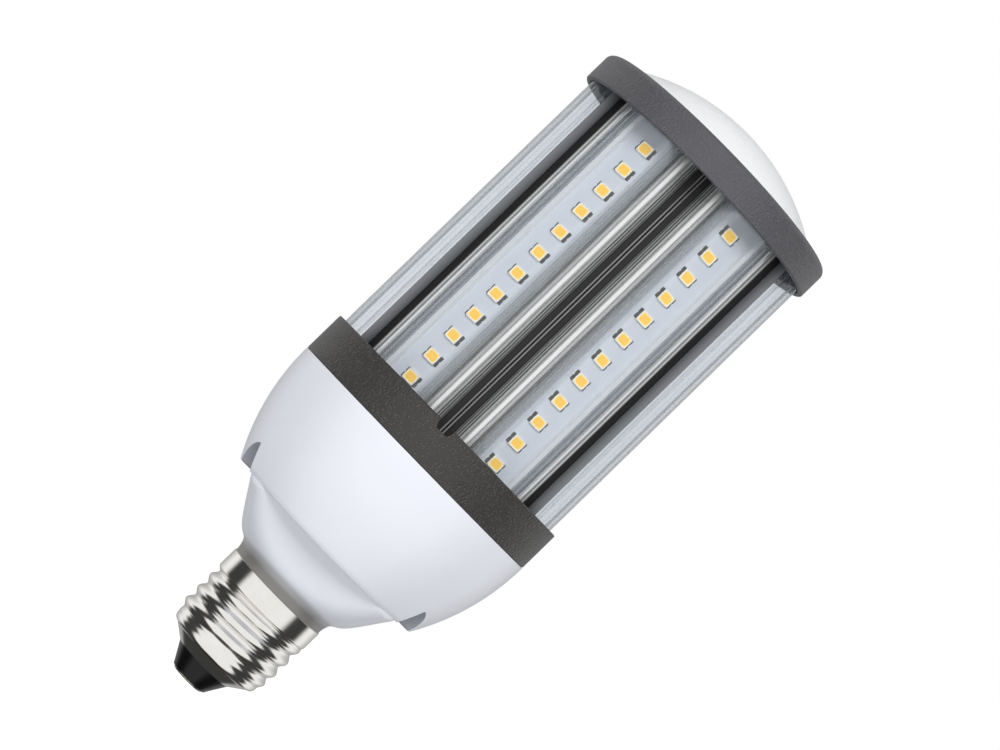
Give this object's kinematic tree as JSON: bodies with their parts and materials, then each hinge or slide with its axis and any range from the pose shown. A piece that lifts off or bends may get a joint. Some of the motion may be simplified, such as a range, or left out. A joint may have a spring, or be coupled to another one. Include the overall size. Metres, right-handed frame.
{
  "type": "corn led bulb",
  "caption": "Corn-style LED bulb with an E27 screw cap: white funnel housing, dark ring and cap, and upright LED panels behind clear covers around a finned black core, under a white dome.",
  "frame": {"origin": "centre of the flat underside of the centre contact, the lowest point of the screw cap", "axes": "+Z along the bulb's axis from the screw cap to the dome; -Y is the front, the gap between two panels that the picture looks at; +X is right of it"},
  "size_m": [0.068, 0.068, 0.1722],
  "materials": {
    "contact_metal": "plated",
    "insulator_black": "glossy",
    "nickel_shell": "polished nickel plate",
    "housing_white": "semi-gloss",
    "driver_board": "solder mask",
    "driver_black": "satin",
    "driver_yellow": "taped",
    "driver_copper": "enamelled wire",
    "lead_red": "satin",
    "lead_blue": "satin",
    "ring_grey": "fine moulded grain",
    "core_black": "black anodised",
    "cap_grey": "fine moulded grain",
    "dome_white": "opal",
    "screw_steel": "zinc plated",
    "rail_silver": "bright extruded",
    "board_white": "white solder mask on aluminium",
    "led_white": "satin",
    "led_phosphor": "silicone",
    "cover_clear": "clear polycarbonate"
  },
  "bodies": {
    "root": {"base_insulator": "insulator_black", "cap_screws": "screw_steel", "centre_contact": "contact_metal", "driver_board": "driver_board", "driver_capacitor": "driver_black", "driver_housing": "housing_white", "driver_inductor": "driver_copper", "driver_rectifier": "driver_black", "driver_transformer": "driver_yellow", "heatsink_core": "core_black", "led_board_1": "board_white", "led_board_2": "board_white", "led_board_3": "board_white", "led_board_4": "board_white", "led_board_5": "board_white", "led_board_6": "board_white", "led_emitters_1": "led_phosphor", "led_emitters_2": "led_phosphor", "led_emitters_3": "led_phosphor", "led_emitters_4": "led_phosphor", "led_emitters_5": "led_phosphor", "led_emitters_6": "led_phosphor", "led_packages_1": "led_white", "led_packages_2": "led_white", "led_packages_3": "led_white", "led_packages_4": "led_white", "led_packages_5": "led_white", "led_packages_6": "led_white", "live_lead": "lead_red", "lower_ring": "ring_grey", "neutral_lead": "lead_blue", "panel_cover_1": "cover_clear", "panel_cover_2": "cover_clear", "panel_cover_3": "cover_clear", "panel_cover_4": "cover_clear", "panel_cover_5": "cover_clear", "panel_cover_6": "cover_clear", "panel_rail_1": "rail_silver", "panel_rail_2": "rail_silver", "panel_rail_3": "rail_silver", "panel_rail_4": "rail_silver", "panel_rail_5": "rail_silver", "panel_rail_6": "rail_silver", "ring_screws": "screw_steel", "screw_shell": "nickel_shell", "top_cap": "cap_grey", "top_dome": "dome_white"}
  },
  "joints": []
}
